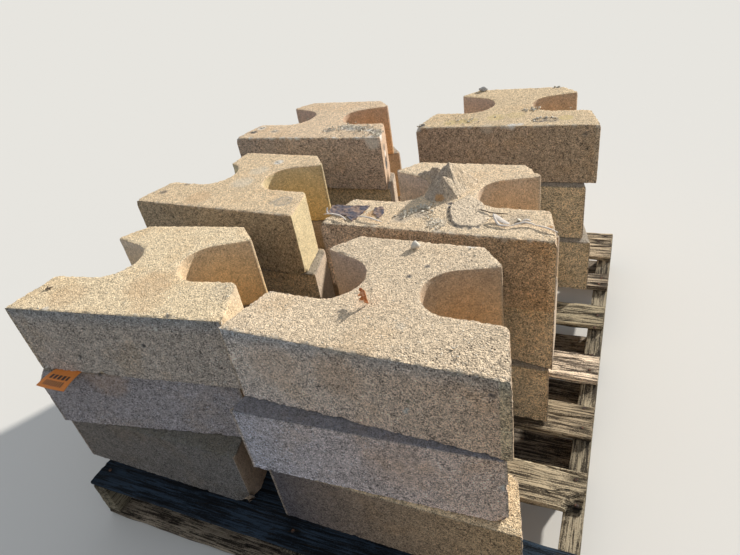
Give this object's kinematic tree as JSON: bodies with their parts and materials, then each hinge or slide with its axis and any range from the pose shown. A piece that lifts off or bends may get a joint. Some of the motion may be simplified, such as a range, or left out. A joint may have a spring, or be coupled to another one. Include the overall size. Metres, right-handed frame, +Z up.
{
  "type": "pallet of concrete blocks",
  "caption": "Notched timber pallet loaded with dog-bone concrete retaining-wall blocks stacked in two columns of short stacks.",
  "frame": {"origin": "centre of the pallet's underside, on the floor", "axes": "+X along the deck boards, to the right of the load's front; +Y along the stringers, to the rear; +Z up"},
  "size_m": [1.069, 1.2348, 0.635],
  "materials": {
    "concrete": "dry-cast concrete, moulded top and sides, split front",
    "deck_wood": "weathered grey-brown sawn softwood",
    "stringer_wood": "weathered grey-brown sawn softwood"
  },
  "bodies": {
    "root": {"block_front_left_bottom": "concrete", "block_front_left_middle": "concrete", "block_front_left_top": "concrete", "block_front_right_bottom": "concrete", "block_front_right_middle": "concrete", "block_front_right_top": "concrete", "block_middle_left_bottom": "concrete", "block_middle_left_middle": "concrete", "block_middle_left_top": "concrete", "block_middle_right_bottom": "concrete", "block_middle_right_middle": "concrete", "block_middle_right_top": "concrete", "block_rear_left_bottom": "concrete", "block_rear_left_middle": "concrete", "block_rear_left_top": "concrete", "block_rear_right_bottom": "concrete", "block_rear_right_middle": "concrete", "block_rear_right_top": "concrete", "mortar_lump": "concrete", "deck_board_front": "deck_wood", "deck_board_1": "deck_wood", "deck_board_2": "deck_wood", "deck_board_3": "deck_wood", "deck_board_4": "deck_wood", "deck_board_5": "deck_wood", "deck_board_rear": "deck_wood", "stringer_left": "stringer_wood", "stringer_centre": "stringer_wood", "stringer_right": "stringer_wood", "bottom_board_front": "stringer_wood", "bottom_board_1": "stringer_wood", "bottom_board_2": "stringer_wood", "bottom_board_3": "stringer_wood", "bottom_board_rear": "stringer_wood"}
  },
  "joints": []
}
